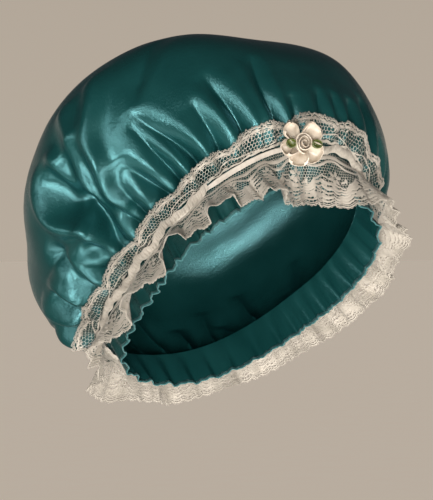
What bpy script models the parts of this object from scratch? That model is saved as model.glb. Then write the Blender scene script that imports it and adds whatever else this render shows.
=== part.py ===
"""Satin hair bonnet: a puffed crown with its own frill, a lace edging, an elastic and a ribbon flower.

The origin is the centre of the gathering line, which runs from the forehead over the ears to the nape.
+Z is up and the forehead is at -Y. Angles run round the loop from the forehead towards the wearer's right.
"""

import math
from collections import namedtuple

import bmesh
import bpy
import numpy as np
from mathutils import Vector

# The gathering line, a rounded loop that leans up towards the forehead. Metres, and degrees where named so.
LOOP_HALF_WIDTH = 0.080
LOOP_HALF_LENGTH = 0.111
LOOP_SQUARENESS = 2.4
LOOP_TILT_DEG = 42

# The crown above that loop
CROWN_HEIGHT = 0.128
APEX_LEAN = 0.0065
BELLY_SHARE = 0.28
SATIN_WALL = 0.0012
FOLD_STRENGTH = 1.4
FOLD_ENTRY = 0.014
FOLD_ENTRY_DEPTH = 0.3
FOLD_TIP_SOFTNESS = 0.2
SWIRL_SHARE = 0.35

# What hangs past the gathering line
FRILL_WIDTH = 0.024
FRILL_WAVE = 0.0020
LACE_WALL = 0.0010
LACE_STANDOFF = 0.0018
LACE_LAND = 0.0046
LACE_HEADING = 0.0175
LACE_SCALLOPS = 18
SCALLOP_DEPTH = 0.0032
FLUTE_DEPTH = 0.0190
FLUTE_SHARE = 0.17
FLUTE_LEAN = 0.0060
HEM_SCALLOPS_PER_FLUTE = 2
HEM_SCALLOP_DEPTH = 0.0024

BAND_WIDTH = 0.0036
BAND_THICKNESS = 0.0010
BAND_GAP = 0.0003

# The flower at the forehead, which faces a little to the wearer's right
FLOWER_CENTRE = (-0.0120, -0.0970, 0.0725)
FLOWER_FACING = (-0.34, -0.93, 0.08)
PETAL_INNER = 0.0024
PETAL_CUP = 0.0040
PETAL_CREASE = 0.0009
PETAL_ROUNDING = 0.0030
PETAL_WALL = 0.0007
PETAL_TWIST_DEG = 20
BUD_HALF_WIDTH = 0.0058
BUD_HALF_HEIGHT = 0.0068
BUD_FOOT = 0.0024
BUD_DEPTH = 0.0068
BUD_TURNS = 2.4
BUD_PROFILE = ((1.0, 0.93), (0.55, 1.0), (0.0, 0.78))
BUD_WALL = 0.0009
LEAF_RADIUS = 0.0026
LEAF_STRETCH = 1.15
LEAF_WIDTH = 0.0036
LEAF_WALL = 0.0008

Petal = namedtuple("Petal", "angle_deg length_mm width_mm")
PETALS = [
    Petal(59, 18.6, 13.5),
    Petal(143, 19.0, 12.5),
    Petal(208, 17.6, 11.0),
    Petal(263, 18.2, 12.6),
    Petal(330, 18.4, 13.5),
]
Leaf = namedtuple("Leaf", "name angle_deg distance_mm foot_mm")
LEAVES = [
    Leaf("leaf_left", 184, 8.6, 5.0),
    Leaf("leaf_right", 354, 8.6, 5.3),
]

MM = 0.001

# Sections round the loop. The gathering line departs from its rounded loop by loop_mm outwards and
# drop_mm downwards. Then come how wide the crown gets, how high above the loop that is, how far the
# satin turns as it rises, and how the two frills flare and hang.
Section = namedtuple(
    "Section",
    "angle_deg loop_mm drop_mm widest_mm belly_mm swirl_deg satin_flare_deg lace_flare_deg lace_frill_mm",
)
SECTIONS = [
    Section(0, 0, 2, 137, 46, 1, -46, -40, 39),
    Section(30, -1, 8, 144, 62, 8, -14, 12, 31),
    Section(60, -3, 8, 147, 64, 5, 4, 28, 34),
    Section(90, -3, 8, 136, 56, -9, 5, 22, 35),
    Section(120, -2, 5, 131, 42, -12, 0, 24, 35),
    Section(150, 0, 0, 141, 50, -6, -3, 30, 30),
    Section(180, 0, 0, 134, 56, 0, 6, 26, 28),
    Section(210, 0, 2, 136, 52, 4, 8, 26, 29),
    Section(240, 0, 8, 136, 52, 4, 12, 30, 33),
    Section(270, 3, 14, 142, 46, 2, 18, 34, 36),
    Section(300, 5, 14, 142, 40, 2, 20, 30, 35),
    Section(330, 3, 7, 140, 54, 1, -10, 6, 36),
]

# The lace frill lies close between these angles and stands out in a flute half way between two of them
FLUTE_ANGLES_DEG = np.array([12, 30, 50, 73, 105, 140, 172, 204, 236, 266, 293, 318, 345])

# Folds of the satin: valleys that start at the gathering line, or further up, and run up the crown.
# The three angles are where the fold starts, half way along it, and at its end.
Fold = namedtuple("Fold", "start_mm end_mm start_deg half_deg end_deg width_mm depth_mm")
FOLDS = [
    Fold(0, 47, -42, -40, -38, 5.0, 6.0),
    Fold(0, 59, -31, -30, -29, 7.0, 8.0),
    Fold(0, 47, -20, -20, -20, 5.0, 6.0),
    Fold(0, 45, -13, -13, -12, 4.5, 5.0),
    Fold(0, 45, -5, -6, -6, 4.5, 5.0),
    Fold(0, 41, 4, 4, 5, 4.5, 4.5),
    Fold(0, 75, 12, 12, 13, 5.0, 6.0),
    Fold(0, 77, 21, 26, 30, 6.0, 7.5),
    Fold(0, 63, 30, 33, 36, 5.5, 6.0),
    Fold(0, 81, 38, 45, 51, 5.5, 6.5),
    Fold(0, 79, 46, 50, 54, 6.0, 7.0),
    Fold(0, 63, 54, 58, 61, 6.0, 7.0),
    Fold(0, 57, 63, 65, 65, 5.5, 6.5),
    Fold(0, 55, 72, 72, 73, 5.0, 5.0),
    Fold(0, 43, 81, 80, 78, 5.0, 5.0),
    Fold(0, 121, 89, 80, 75, 8.0, 11.0),
    Fold(0, 51, 99, 98, 96, 6.0, 7.0),
    Fold(0, 49, 110, 108, 104, 4.0, 3.0),
    Fold(0, 59, 121, 114, 105, 6.0, 8.0),
    Fold(0, 47, 131, 123, 114, 5.0, 6.0),
    Fold(0, 38, 141, 131, 126, 5.0, 6.0),
    Fold(0, 52, 151, 147, 146, 7.0, 8.0),
]
CROWN_FOLDS = [
    Fold(51, 95, 75, 68, 61, 7.0, 9.0),
    Fold(75, 125, 50, 44, 36, 8.0, 3.0),
]
# The far side repeats one plain run of gathers
FAR_FOLD_ANGLES_DEG = np.linspace(160, 308, 17)
FAR_FOLD_ENDS_MM = (38, 62, 46, 74, 42, 56)

# Rings of the crown, as shares of the way from the gathering line to the apex
CROWN_RINGS = (0.0, 0.04, 0.09, 0.15, 0.22, 0.30, 0.39, 0.49, 0.61, 0.75, 0.89)
FRILL_ROWS = (1.0, 0.5)
COLUMNS_PER_FOLD = 3
LACE_COLUMNS_PER_FLUTE = 10
LACE_FRILL_ROWS = (1.0, 0.66, 0.33, 0.0)
HEADING_ROWS = (0.0, 1.0)
BAND_COLUMNS = 72
MERIDIAN_SAMPLES = 90
PETAL_ROWS = 5
PETAL_COLUMNS = 7
BUD_STEPS_PER_TURN = 14
LEAF_SEGMENTS = 14

TILT = math.radians(LOOP_TILT_DEG)
ACROSS = np.array([1.0, 0.0, 0.0])
FORWARD = np.array([0.0, -math.cos(TILT), math.sin(TILT)])
AXIS = np.array([0.0, math.sin(TILT), math.cos(TILT)])


def clear_scene():
    for obj in list(bpy.data.objects):
        bpy.data.objects.remove(obj, do_unlink=True)


def material(name, colour, roughness):
    made = bpy.data.materials.new(name)
    made.use_nodes = True
    shader = made.node_tree.nodes["Principled BSDF"]
    shader.inputs["Base Color"].default_value = (*colour, 1.0)
    shader.inputs["Roughness"].default_value = roughness
    shader.inputs["Metallic"].default_value = 0.0
    return made


def around(column, angle):
    """A section column at any angle, on a smooth closed curve through the rows."""
    values = np.array([getattr(row, column) for row in SECTIONS], float)
    count = len(values)
    place = (np.degrees(angle) % 360) / 360 * count
    first = np.floor(place).astype(int)
    t = place - first
    a, b, c, d = (values[(first + k) % count] for k in (-1, 0, 1, 2))
    return b + 0.5 * t * (c - a + t * (2 * a - 5 * b + 4 * c - d + t * (3 * (b - c) + d - a)))


def loop_radius(angle):
    wide = np.abs(np.sin(angle)) / LOOP_HALF_WIDTH
    long = np.abs(np.cos(angle)) / LOOP_HALF_LENGTH
    rounded = (wide**LOOP_SQUARENESS + long**LOOP_SQUARENESS) ** (-1 / LOOP_SQUARENESS)
    return rounded + around("loop_mm", angle) * MM


def outward(angle):
    """The direction away from the axis, in the plane of the loop."""
    return -np.sin(angle)[..., None] * ACROSS + np.cos(angle)[..., None] * FORWARD


def loop_point(angle):
    drop = around("drop_mm", angle)[..., None] * MM
    return loop_radius(angle)[..., None] * outward(angle) - drop * AXIS


def meridian(angle):
    """Radius, height and length so far of the crown at samples from the gathering line to the apex."""
    share = np.linspace(0, 1, MERIDIAN_SAMPLES)
    low = np.clip(share / BELLY_SHARE, 0, 1) * math.pi / 2
    high = np.clip((share - BELLY_SHARE) / (1 - BELLY_SHARE), 0, 1) * math.pi / 2
    widest = around("widest_mm", angle)[..., None] * MM
    belly = around("belly_mm", angle)[..., None] * MM
    start = loop_radius(angle)[..., None]
    drop = around("drop_mm", angle)[..., None] * MM
    below = share < BELLY_SHARE
    radius = np.where(below, start + (widest - start) * np.sin(low), widest * np.cos(high))
    rise = (belly + drop) * (1 - np.cos(low)) - drop
    height = np.where(below, rise, belly + (CROWN_HEIGHT - belly) * np.sin(high))
    steps = np.hypot(np.diff(radius, axis=-1), np.diff(height, axis=-1))
    length = np.concatenate([np.zeros_like(start), np.cumsum(steps, axis=-1)], axis=-1)
    return radius, height, length


def crown_length(angle):
    return meridian(angle)[2][..., -1]


def crown_base(angle, distance):
    """A point of the smooth crown, a distance up its surface from the gathering line."""
    radius, height, length = meridian(angle)
    distance = np.minimum(distance, length[..., -1] * 0.999999)
    index = (length[..., 1:] < distance[..., None]).sum(axis=-1)
    pick = lambda values, shift: np.take_along_axis(values, (index + shift)[..., None], -1)[..., 0]
    start, end = pick(length, 0), pick(length, 1)
    t = (distance - start) / (end - start)
    r = pick(radius, 0) * (1 - t) + pick(radius, 1) * t
    h = pick(height, 0) * (1 - t) + pick(height, 1) * t
    lean = (APEX_LEAN * h / CROWN_HEIGHT)[..., None] * FORWARD
    return r[..., None] * outward(angle) + h[..., None] * AXIS + lean


def crown_normal(angle, distance):
    turn, step = 0.01, 0.0005
    round_way = crown_base(angle + turn, distance) - crown_base(angle - turn, distance)
    up_way = crown_base(angle, distance + step) - crown_base(angle, np.maximum(distance - step, 0))
    normal = np.cross(up_way, round_way)
    return normal / np.linalg.norm(normal, axis=-1, keepdims=True)


def all_folds():
    far = []
    for k, angle in enumerate(FAR_FOLD_ANGLES_DEG):
        lean = 3 * math.sin(k * 1.7)
        end = FAR_FOLD_ENDS_MM[k % len(FAR_FOLD_ENDS_MM)]
        far.append(Fold(0, end, angle, angle + lean / 2, angle + lean, 5.5, 6.0))
    return FOLDS + far


def gather_angles():
    return np.array(sorted(fold.start_deg % 360 for fold in all_folds()))


def fold_depth(angle, distance):
    """How far the folds take the satin in from the smooth crown."""
    depth = np.zeros_like(angle)
    turn = 0.01
    round_way = crown_base(angle + turn, distance) - crown_base(angle - turn, distance)
    girth = np.linalg.norm(round_way, axis=-1) / (2 * turn)
    for fold in all_folds() + CROWN_FOLDS:
        start, end = fold.start_mm * MM, fold.end_mm * MM
        t = np.clip((distance - start) / (end - start), 0, 1)
        middle = fold.start_deg * (1 - t) * (1 - 2 * t)
        middle += fold.half_deg * 4 * t * (1 - t) + fold.end_deg * t * (2 * t - 1)
        off = (np.degrees(angle) - middle + 180) % 360 - 180
        across = np.radians(np.abs(off)) * girth / (0.7 * fold.width_mm * MM * (1 + t))
        profile = np.exp(FOLD_TIP_SOFTNESS - np.hypot(across, FOLD_TIP_SOFTNESS))
        rise = np.clip((distance - start) / FOLD_ENTRY, 0, 1)
        entry = FOLD_ENTRY_DEPTH + (1 - FOLD_ENTRY_DEPTH) * rise if start == 0 else rise
        fade = np.where((distance >= start) & (distance <= end), (1 - t) ** 0.7, 0)
        depth += FOLD_STRENGTH * fold.depth_mm * MM * entry * fade * profile
    return depth


def crown_surface(angle, distance):
    depth = fold_depth(angle, distance)[..., None]
    return crown_base(angle, distance) - depth * crown_normal(angle, distance)


def frill_frame(angle, column):
    """The way a frill runs from the gathering line, and the way that is outward from it."""
    flare = np.radians(around(column, angle))[..., None]
    run = -np.cos(flare) * AXIS + np.sin(flare) * outward(angle)
    face = np.cos(flare) * outward(angle) + np.sin(flare) * AXIS
    return run, face


def count_round(angle, marks_deg):
    """Counts marks round the loop: a whole number at each mark, and shares of one between two of them."""
    marks = np.concatenate([marks_deg - 360, marks_deg, marks_deg + 360])
    return np.interp(np.degrees(angle) % 360, marks, np.arange(len(marks)))


def satin_frill(angle, share):
    """The satin past the gathering line: share 0 is the line and 1 is the hem."""
    run, face = frill_frame(angle, "satin_flare_deg")
    wave = -FRILL_WAVE * share * (1 + np.cos(2 * math.pi * count_round(angle, gather_angles())))
    return loop_point(angle) + (FRILL_WIDTH * share)[..., None] * run + wave[..., None] * face


def crook(angle):
    """Where the lace turns from the crown to the frill, with the two ways that it runs from there."""
    up = outward(angle)
    down = frill_frame(angle, "satin_flare_deg")[0]
    between = np.radians(90 - around("satin_flare_deg", angle))[..., None]
    corner = loop_point(angle) + LACE_STANDOFF / np.sin(between) * (up + down)
    land = LACE_LAND / (2 * np.sin(between / 2))
    return corner, up, down, land


def lace_heading(angle, share):
    """The lace above the gathering line, lying over the crown, with a scalloped top edge."""
    corner, up, _, land = crook(angle)
    foot = ((corner - loop_point(angle)) * up).sum(axis=-1) + land[..., 0]
    lobe = np.abs(np.sin(LACE_SCALLOPS * angle / 2))
    reach = LACE_HEADING - SCALLOP_DEPTH * (1 - lobe)
    distance = foot + (reach - foot) * share
    return crown_base(angle, distance) + LACE_STANDOFF * crown_normal(angle, distance)


def lace_frill(angle, share):
    """The lace past the gathering line, which stands out in deep flutes and ends in small scallops."""
    corner, _, down, land = crook(angle)
    run, face = frill_frame(angle, "lace_flare_deg")
    place = count_round(angle, FLUTE_ANGLES_DEG)
    lobe = np.abs(np.sin(HEM_SCALLOPS_PER_FLUTE * math.pi * place))
    reach = (around("lace_frill_mm", angle) * MM - HEM_SCALLOP_DEPTH * (1 - lobe)) * share
    off = place % 1 - 0.5
    swing = share**1.2
    flute = FLUTE_DEPTH * np.exp(-((off / FLUTE_SHARE) ** 2)) * swing
    lean = FLUTE_LEAN * np.sin(2 * math.pi * off) * swing
    along = np.cross(AXIS, outward(angle))
    return corner + land * down + reach[..., None] * run + flute[..., None] * face + lean[..., None] * along


def add_wall(obj, thickness):
    solid = obj.modifiers.new("wall", "SOLIDIFY")
    solid.thickness = thickness
    solid.offset = -1


def grid_object(name, rows, mat, wall, apex=None, closed=True):
    """A sheet through rows of points, hem first, with its thickness to the inside."""
    mesh = bpy.data.meshes.new(name)
    bm = bmesh.new()
    rings = [[bm.verts.new(point) for point in row] for row in rows]
    count = len(rings[0])
    for lower, upper in zip(rings, rings[1:]):
        for i in range(count if closed else count - 1):
            j = (i + 1) % count
            bm.faces.new((lower[i], upper[i], upper[j], lower[j]))
    if apex is not None:
        top = bm.verts.new(apex)
        for i in range(count):
            bm.faces.new((rings[-1][i], top, rings[-1][(i + 1) % count]))
    bm.to_mesh(mesh)
    bm.free()
    mesh.shade_smooth()
    mesh.materials.append(mat)
    obj = bpy.data.objects.new(name, mesh)
    add_wall(obj, wall)
    return obj


def column_angles():
    """Column angles at the gathering line: one in each fold and two on the puff beside it."""
    valleys = gather_angles()
    angles = []
    for this, following in zip(valleys, np.append(valleys[1:], valleys[0] + 360)):
        for k in range(COLUMNS_PER_FOLD):
            angles.append(this + (following - this) * k / COLUMNS_PER_FOLD)
    return np.radians(angles)


def make_satin(mat):
    """The crown and its frill, one piece of satin."""
    angles = column_angles()
    rows = [satin_frill(angles, np.full_like(angles, share)) for share in FRILL_ROWS]
    full = crown_length(angles)
    for share in CROWN_RINGS:
        turned = angles + np.radians(around("swirl_deg", angles)) * min(share / SWIRL_SHARE, 1.0)
        rows.append(crown_surface(turned, full * share))
    apex = CROWN_HEIGHT * AXIS + APEX_LEAN * FORWARD
    return grid_object("satin_crown", rows, mat, SATIN_WALL, apex=apex)


def make_lace(mat):
    """The lace edging, one strip that is caught down along the gathering line."""
    count = len(FLUTE_ANGLES_DEG)
    place = np.arange(count * LACE_COLUMNS_PER_FLUTE) / LACE_COLUMNS_PER_FLUTE
    marks = np.append(FLUTE_ANGLES_DEG, FLUTE_ANGLES_DEG[0] + 360)
    angles = np.radians(np.interp(place, np.arange(count + 1), marks))
    rows = [lace_frill(angles, np.full_like(angles, share)) for share in LACE_FRILL_ROWS]
    rows += [lace_heading(angles, np.full_like(angles, share)) for share in HEADING_ROWS]
    return grid_object("lace_edging", rows, mat, LACE_WALL)


def make_band(mat):
    """The narrow elastic band that gathers the lace, a flat strip in the crook of the lace."""
    angles = np.arange(BAND_COLUMNS) / BAND_COLUMNS * 2 * math.pi
    corner, up, down, land = crook(angles)
    out = (up + down) / np.linalg.norm(up + down, axis=-1, keepdims=True)
    side = (up - down) / np.linalg.norm(up - down, axis=-1, keepdims=True)
    centre = corner + land / 2 * (up + down) + (BAND_GAP + BAND_THICKNESS) * out
    rows = [centre + half * BAND_WIDTH / 2 * side for half in (-1, 1)]
    return grid_object("gathering_band", rows, mat, BAND_THICKNESS)


def make_flower_mount():
    """An empty that the flower's pieces hang on: its Z is the way the flower faces and its Y is up."""
    mount = bpy.data.objects.new("flower_mount", None)
    mount.location = FLOWER_CENTRE
    mount.rotation_euler = Vector(FLOWER_FACING).to_track_quat("Z", "Y").to_euler()
    return mount


def make_petal(index, petal, mat):
    """A cupped loop of ribbon with a soft crease, turned to lie over one neighbour and under the other."""
    shares, sides = np.linspace(0, 1, PETAL_ROWS), np.linspace(-1, 1, PETAL_COLUMNS)
    share, side = np.meshgrid(shares, sides, indexing="ij")
    bulge = np.sin(math.pi * share)
    swell = 0.30 + 0.70 * np.sin(math.pi * np.clip(share * 0.86 + 0.06, 0, 1)) ** 0.7
    length = petal.length_mm * MM - PETAL_INNER
    along = PETAL_INNER + length * share - PETAL_ROUNDING * side**2 * share
    wide = petal.width_mm * MM / 2 * swell * np.sin(side * math.pi / 2)
    lift = PETAL_CUP * (0.75 * share**2 + 0.55 * side**2 * bulge)
    lift += PETAL_CREASE * np.exp(-9 * side**2) * bulge
    obj = grid_object(f"petal_{index}", np.stack([along, wide, lift], -1), mat, PETAL_WALL, closed=False)
    obj.rotation_euler = (math.radians(PETAL_TWIST_DEG), 0, math.radians(petal.angle_deg))
    return obj


def make_bud(mat):
    """The rolled ribbon at the flower's centre, a strip wound into a spiral."""
    turn = np.linspace(0, BUD_TURNS * 2 * math.pi, int(BUD_TURNS * BUD_STEPS_PER_TURN) + 1)
    grow = 0.20 + 0.80 * turn / turn[-1]
    rows = []
    for height, spread in BUD_PROFILE:
        x = BUD_HALF_WIDTH * grow * spread * np.cos(turn)
        y = BUD_HALF_HEIGHT * grow * spread * np.sin(turn)
        rows.append(np.stack([x, y, BUD_DEPTH * height * (1.12 - 0.22 * grow)], -1))
    obj = grid_object("rosebud", rows, mat, BUD_WALL, closed=False)
    obj.location.z = BUD_FOOT
    return obj


def make_leaf(leaf, mat):
    """A small loop of green ribbon beside the rosebud, an open ring a little longer than wide."""
    mesh = bpy.data.meshes.new(leaf.name)
    bm = bmesh.new()
    bmesh.ops.create_cone(
        bm,
        segments=LEAF_SEGMENTS,
        radius1=LEAF_RADIUS,
        radius2=LEAF_RADIUS,
        depth=LEAF_WIDTH,
        cap_ends=False,
    )
    bmesh.ops.scale(bm, verts=bm.verts, vec=(LEAF_STRETCH, 1, 1))
    bm.to_mesh(mesh)
    bm.free()
    mesh.shade_smooth()
    mesh.materials.append(mat)
    obj = bpy.data.objects.new(leaf.name, mesh)
    add_wall(obj, LEAF_WALL)
    turn = math.radians(leaf.angle_deg)
    distance = leaf.distance_mm * MM
    height = leaf.foot_mm * MM + LEAF_WIDTH / 2
    obj.location = (distance * math.cos(turn), distance * math.sin(turn), height)
    obj.rotation_euler.z = turn
    return obj


def make_flower(ribbon, green):
    pieces = [make_petal(index, petal, ribbon) for index, petal in enumerate(PETALS, start=1)]
    pieces.append(make_bud(ribbon))
    pieces += [make_leaf(leaf, green) for leaf in LEAVES]
    mount = make_flower_mount()
    for piece in pieces:
        piece.parent = mount
    return pieces + [mount]


def build():
    clear_scene()
    satin = material("satin", (0.010, 0.115, 0.115), 0.30)
    lace = material("lace", (0.63, 0.54, 0.46), 0.85)
    cream = material("cream_elastic", (0.78, 0.70, 0.58), 0.8)
    ribbon = material("ribbon", (0.80, 0.68, 0.52), 0.35)
    green = material("green_ribbon", (0.07, 0.09, 0.015), 0.4)
    collection = bpy.data.collections.new("satin_bonnet")
    bpy.context.scene.collection.children.link(collection)
    for obj in [make_satin(satin), make_lace(lace), make_band(cream), *make_flower(ribbon, green)]:
        collection.objects.link(obj)


build()
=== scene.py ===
import math

import bpy
import numpy as np
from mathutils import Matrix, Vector


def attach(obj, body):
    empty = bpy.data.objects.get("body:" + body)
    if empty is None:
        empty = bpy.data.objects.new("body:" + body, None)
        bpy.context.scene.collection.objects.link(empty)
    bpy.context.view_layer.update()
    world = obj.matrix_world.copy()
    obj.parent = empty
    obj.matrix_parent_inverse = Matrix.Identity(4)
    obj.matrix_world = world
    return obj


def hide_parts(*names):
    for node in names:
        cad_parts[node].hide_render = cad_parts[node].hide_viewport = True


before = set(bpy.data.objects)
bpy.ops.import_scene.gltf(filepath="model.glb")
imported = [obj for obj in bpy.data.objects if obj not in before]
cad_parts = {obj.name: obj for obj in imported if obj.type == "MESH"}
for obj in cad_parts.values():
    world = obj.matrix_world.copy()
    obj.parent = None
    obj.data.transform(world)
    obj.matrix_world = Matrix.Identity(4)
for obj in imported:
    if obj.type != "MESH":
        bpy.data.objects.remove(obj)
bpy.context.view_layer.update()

mm = 0.001

# the gathered loop and the puffed crown above it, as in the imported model
loopShape = {"halfWidth": 0.080, "halfLength": 0.111, "squareness": 2.4, "tiltDegrees": 42}
crownShape = {"height": 0.128, "apexLean": 0.0065, "bellyShare": 0.28}
sectionNames = ("loop", "drop", "widest", "belly", "satinFlare", "laceFlare", "laceFrill")
sectionRows = [  # one row each 30 degrees, from the forehead towards the wearer's right
    (0, 2, 137, 46, -46, -40, 39),
    (-1, 8, 144, 62, -14, 12, 31),
    (-3, 8, 147, 64, 4, 28, 34),
    (-3, 8, 136, 56, 5, 22, 35),
    (-2, 5, 131, 42, 0, 24, 35),
    (0, 0, 141, 50, -3, 30, 30),
    (0, 0, 134, 56, 6, 26, 28),
    (0, 2, 136, 52, 8, 26, 29),
    (0, 8, 136, 52, 12, 28, 33),
    (3, 14, 142, 46, 18, 27, 36),
    (5, 14, 142, 40, 20, 23, 35),
    (3, 7, 140, 54, -10, 6, 36),
]
sections = {name: np.array([row[k] for row in sectionRows], float) for k, name in enumerate(sectionNames)}

tilt = math.radians(loopShape["tiltDegrees"])
acrossWay = np.array([1.0, 0.0, 0.0])
forwardWay = np.array([0.0, -math.cos(tilt), math.sin(tilt)])
axisWay = np.array([0.0, math.sin(tilt), math.cos(tilt)])


def around(column, angle):
    values = sections[column]
    count = len(values)
    place = (np.degrees(angle) % 360) / 360 * count
    first = np.floor(place).astype(int)
    t = place - first
    a, b, c, d = (values[(first + k) % count] for k in (-1, 0, 1, 2))
    return b + 0.5 * t * (c - a + t * (2 * a - 5 * b + 4 * c - d + t * (3 * (b - c) + d - a)))


def outward(angle):
    return -np.sin(angle)[..., None] * acrossWay + np.cos(angle)[..., None] * forwardWay


def loopRadius(angle):
    power = loopShape["squareness"]
    wide = np.abs(np.sin(angle)) / loopShape["halfWidth"]
    long = np.abs(np.cos(angle)) / loopShape["halfLength"]
    return (wide**power + long**power) ** (-1 / power) + around("loop", angle) * mm


def loopPoint(angle):
    return loopRadius(angle)[..., None] * outward(angle) - around("drop", angle)[..., None] * mm * axisWay


def buildCrownTables(step=0.25, samples=320):
    # radius and height of the crown at even shares of the way from the loop to the apex
    angles = np.radians(np.arange(0, 360, step))
    share = np.linspace(0, 1, 400)
    low = np.clip(share / crownShape["bellyShare"], 0, 1) * math.pi / 2
    high = np.clip((share - crownShape["bellyShare"]) / (1 - crownShape["bellyShare"]), 0, 1) * math.pi / 2
    widest = around("widest", angles)[:, None] * mm
    belly = around("belly", angles)[:, None] * mm
    drop = around("drop", angles)[:, None] * mm
    start = loopRadius(angles)[:, None]
    below = share < crownShape["bellyShare"]
    radius = np.where(below, start + (widest - start) * np.sin(low), widest * np.cos(high))
    rise = (belly + drop) * (1 - np.cos(low)) - drop
    height = np.where(below, rise, belly + (crownShape["height"] - belly) * np.sin(high))
    steps = np.hypot(np.diff(radius, axis=1), np.diff(height, axis=1))
    length = np.concatenate([np.zeros_like(start), np.cumsum(steps, axis=1)], axis=1)
    even = np.linspace(0, 1, samples)
    evenRadius = np.array([np.interp(even * l[-1], l, r) for l, r in zip(length, radius)])
    evenHeight = np.array([np.interp(even * l[-1], l, h) for l, h in zip(length, height)])
    return {"step": step, "length": length[:, -1], "radius": evenRadius, "height": evenHeight}


crownTables = buildCrownTables()


def crownLength(angle):
    column = (np.degrees(angle) % 360) / crownTables["step"]
    lengths = np.append(crownTables["length"], crownTables["length"][0])
    return np.interp(column, np.arange(len(lengths)), lengths)


def crownPoint(angle, distance):
    count, samples = crownTables["radius"].shape
    column = (np.degrees(angle) % 360) / crownTables["step"]
    left = np.floor(column).astype(int)
    t = column - left
    left, right = left % count, (left + 1) % count
    row = np.clip(distance / crownLength(angle), 0, 1) * (samples - 1)
    low = np.minimum(row.astype(int), samples - 2)
    f = row - low
    picked = []
    for table in (crownTables["radius"], crownTables["height"]):
        here = (1 - f) * table[left, low] + f * table[left, low + 1]
        there = (1 - f) * table[right, low] + f * table[right, low + 1]
        picked.append((1 - t) * here + t * there)
    r, h = picked
    lean = (crownShape["apexLean"] * h / crownShape["height"])[..., None] * forwardWay
    return r[..., None] * outward(angle) + h[..., None] * axisWay + lean


def unit(vectors):
    return vectors / np.maximum(np.linalg.norm(vectors, axis=-1, keepdims=True), 1e-12)


def crownNormal(angle, distance):
    distance = np.minimum(distance, crownLength(angle) * 0.985)
    roundWay = crownPoint(angle + 0.01, distance) - crownPoint(angle - 0.01, distance)
    upWay = crownPoint(angle, distance + 0.0008) - crownPoint(angle, np.maximum(distance - 0.0008, 0))
    return unit(np.cross(upWay, roundWay))


def degreesFrom(angle, centre):
    return (np.degrees(angle) - centre + 180) % 360 - 180


def ripple(angle, distance, scale, seed, octaves=6):
    # smooth irregular waves over the cloth, from -1 to 1, closed round the loop
    pick = np.random.default_rng(seed)
    total = np.zeros_like(angle)
    for _ in range(octaves):
        turns = int(round(pick.uniform(0.4, 1.6) * 0.13 * 2 * math.pi / scale))
        along = pick.uniform(0.4, 1.6) * pick.choice([-1, 1]) * 2 * math.pi / scale
        total += np.sin(turns * angle + along * distance + pick.uniform(0, 6.28))
    return total / octaves


# valleys of the satin: points (degrees round, mm up from the loop), then width and depth in mm
valleys = [
    (((-42, 0), (-42, 22), (-38, 38)), 4.6, 5.5),
    (((-31, 0), (-31, 20), (-29, 55)), 5.5, 7.0),
    (((-19, 0), (-20, 22), (-20, 42)), 4.5, 6.0),
    (((-14, 0), (-14, 20), (-12, 40)), 4.0, 5.0),
    (((-6, 0), (-6, 20), (-6, 40)), 4.2, 5.0),
    (((4, 0), (4, 20), (5, 36)), 4.2, 4.5),
    (((11, 0), (11, 22), (13, 38), (13, 68)), 4.6, 6.0),
    (((21, 0), (23, 28), (29, 70)), 5.0, 7.0),
    (((31, 0), (32, 26), (35, 58)), 5.0, 6.0),
    (((39, 0), (40, 24), (48, 62), (51, 78)), 5.0, 7.5),
    (((47, 0), (48, 20), (53, 74)), 5.5, 7.0),
    (((53, 0), (54, 14), (61, 60)), 5.5, 7.5),
    (((65, 0), (66, 16), (65, 55)), 5.0, 6.5),
    (((71, 0), (70, 16), (72, 52)), 4.6, 5.5),
    (((82, 0), (82, 16), (78, 40)), 4.6, 5.5),
    (((89, 0), (86, 12), (80, 40), (79, 55), (77, 72)), 5.0, 6.0),
    (((97, 0), (97, 14), (98, 20), (96, 48)), 5.5, 4.0),
    (((110, 0), (109, 12), (106, 40)), 4.0, 4.0),
    (((120, 0), (119, 12), (116, 26)), 5.0, 3.5),
    (((130, 0), (130, 6), (127, 20)), 4.6, 4.0),
    (((140, 0), (140, 8), (139, 20), (139, 30)), 4.6, 4.0),
    (((151, 0), (151, 16), (150, 29), (148, 48)), 6.0, 6.0),
    (((49, 76), (45, 93), (35, 118)), 7.0, 2.6),
]
ridges = [  # long soft drapes, in the same way
    (((75, 42), (76, 51), (73, 68), (68, 89), (67, 111), (66, 120)), 4.2, 5.0),
    (((67, 31), (70, 43), (69, 55), (66, 67), (65, 82), (61, 94), (57, 106), (54, 122)), 4.4, 5.5),
    (((90, 8), (86, 24), (84, 39), (83, 49), (90, 61), (92, 73), (90, 89), (86, 106)), 4.4, 6.0),
    (((77, 58), (77, 86), (77, 104)), 4.0, 4.5),
    (((108, 3), (104, 20), (101, 36), (96, 53)), 4.2, 5.0),
    (((93, 20), (95, 40), (90, 49)), 4.4, 3.5),
    (((124, 6), (116, 26), (114, 42), (116, 54)), 4.0, 5.0),
    (((109, 12), (106, 27), (106, 41), (106, 54)), 4.8, 4.0),
    (((128, 7), (126, 19), (131, 32), (130, 56)), 5.2, 4.4),
    (((141, 6), (143, 19), (143, 42)), 5.0, 4.0),
]
hollows = [  # long soft hollows between the ridges
    (((73, 34), (74, 49), (72, 60), (69, 78), (67, 92)), 3.6, 6.0),
    (((83, 20), (79, 40), (79, 55), (77, 69), (74, 90)), 4.2, 8.0),
    (((85, 52), (82, 76), (81, 94)), 5.0, 6.0),
    (((91, 14), (89, 28), (89, 43)), 4.0, 5.0),
    (((111, 4), (106, 23), (104, 43), (102, 66)), 4.2, 7.0),
    (((125, 10), (120, 30), (120, 46)), 4.2, 6.0),
    (((134, 6), (135, 20), (137, 44)), 5.0, 5.5),
    (((150, 6), (150, 20), (150, 40)), 5.0, 5.0),
]

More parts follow.
